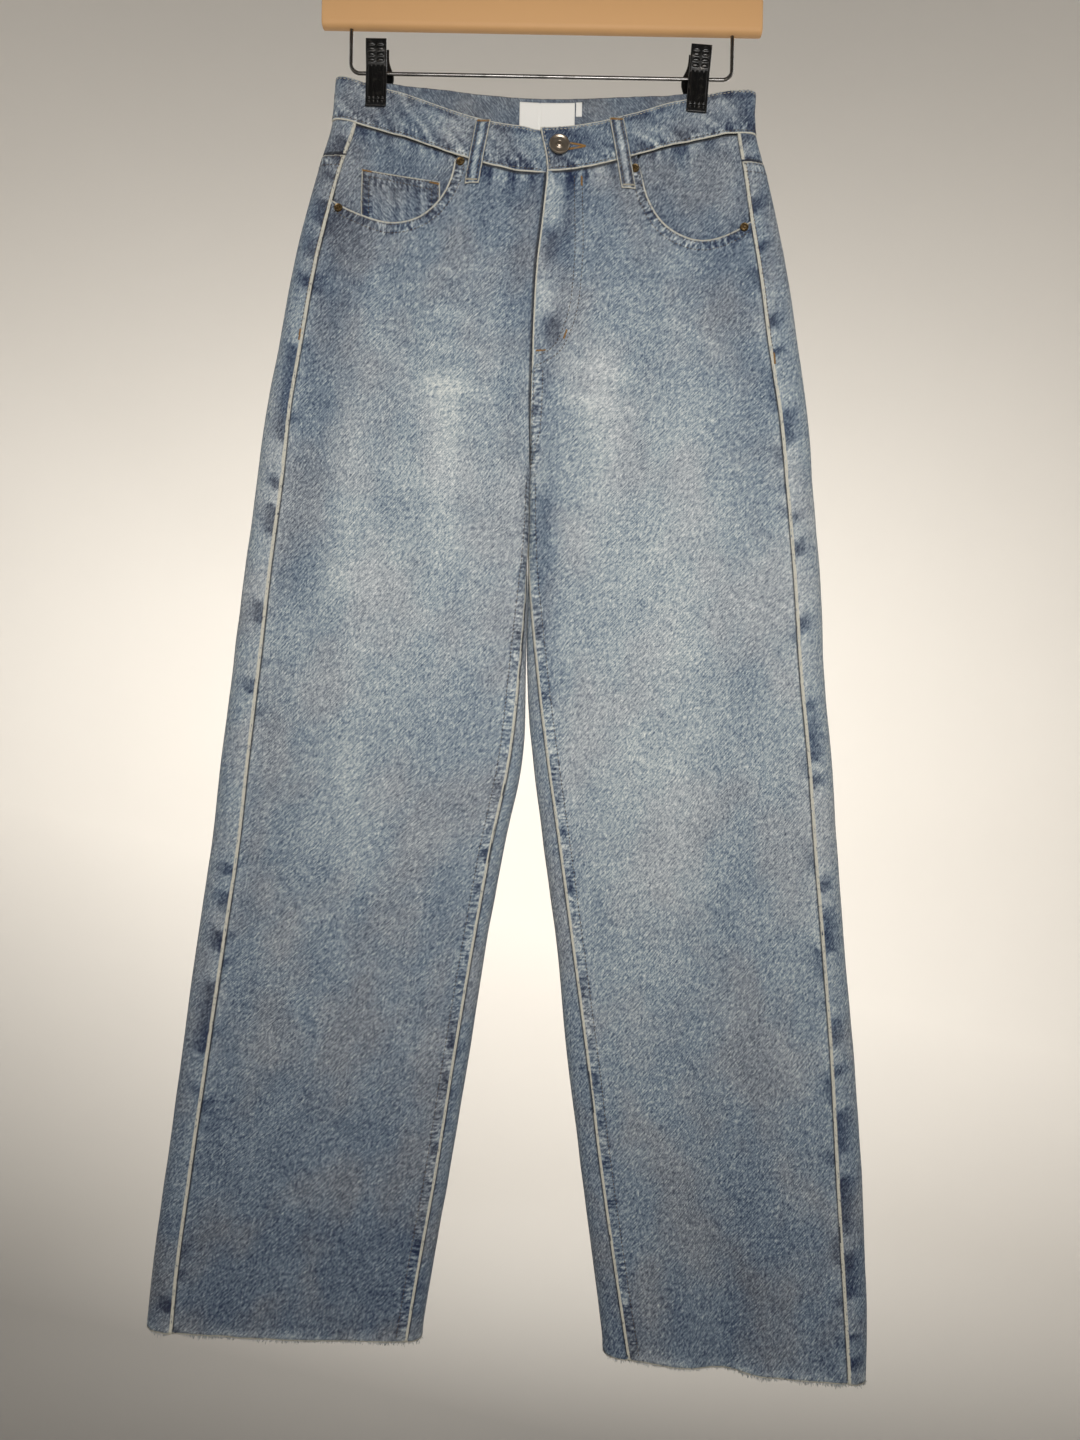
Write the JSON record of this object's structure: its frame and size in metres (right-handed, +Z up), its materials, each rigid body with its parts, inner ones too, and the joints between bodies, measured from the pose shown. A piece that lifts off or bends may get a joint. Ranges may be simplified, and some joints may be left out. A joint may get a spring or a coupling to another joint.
{
  "type": "wide leg jeans on a trouser hanger",
  "caption": "Wide leg denim jeans with raw hems and a five-pocket cut, clipped flat by the waistband to a wooden trouser hanger with a wire rail and hook.",
  "frame": {"origin": "inside of the hook's crown, where a rod carries the hanger", "axes": "+Z up along the hanger, +X to the wearer's left, -Y out of the front of the jeans"},
  "size_m": [0.5991, 0.049, 1.2258],
  "materials": {
    "denim": "washed mid-blue denim twill, faded on thighs and seams",
    "denim_layer": "washed denim, wrong side",
    "label_satin": "bare off-white satin",
    "antique_bronze": "antique bronze with worn bright edges",
    "hanger_wood": "honey varnished wood",
    "hanger_wire": "bright plated wire",
    "clip_metal": "dark plated pressed steel"
  },
  "bodies": {
    "root": {"front_right": "denim", "front_left": "denim", "back_right": "denim", "back_left": "denim", "yoke_right": "denim", "yoke_left": "denim", "waistband": "denim", "fly_shield": "denim_layer", "pocket_facing_right": "denim", "pocket_facing_left": "denim", "coin_pocket": "denim", "back_pocket_right": "denim", "back_pocket_left": "denim", "belt_loop_front_right": "denim", "belt_loop_front_left": "denim", "belt_loop_back_right": "denim", "belt_loop_back_left": "denim", "belt_loop_back_centre": "denim", "label": "label_satin", "size_tag": "label_satin", "button": "antique_bronze", "rivet_right_inner": "antique_bronze", "rivet_right_outer": "antique_bronze", "rivet_left_inner": "antique_bronze", "rivet_left_outer": "antique_bronze", "hanger_bar": "hanger_wood", "hanger_hook": "hanger_wire", "hanger_rail": "hanger_wire", "clip_front_right": "clip_metal", "clip_back_right": "clip_metal", "clip_barrel_right": "clip_metal", "clip_front_left": "clip_metal", "clip_back_left": "clip_metal", "clip_barrel_left": "clip_metal"}
  },
  "joints": []
}
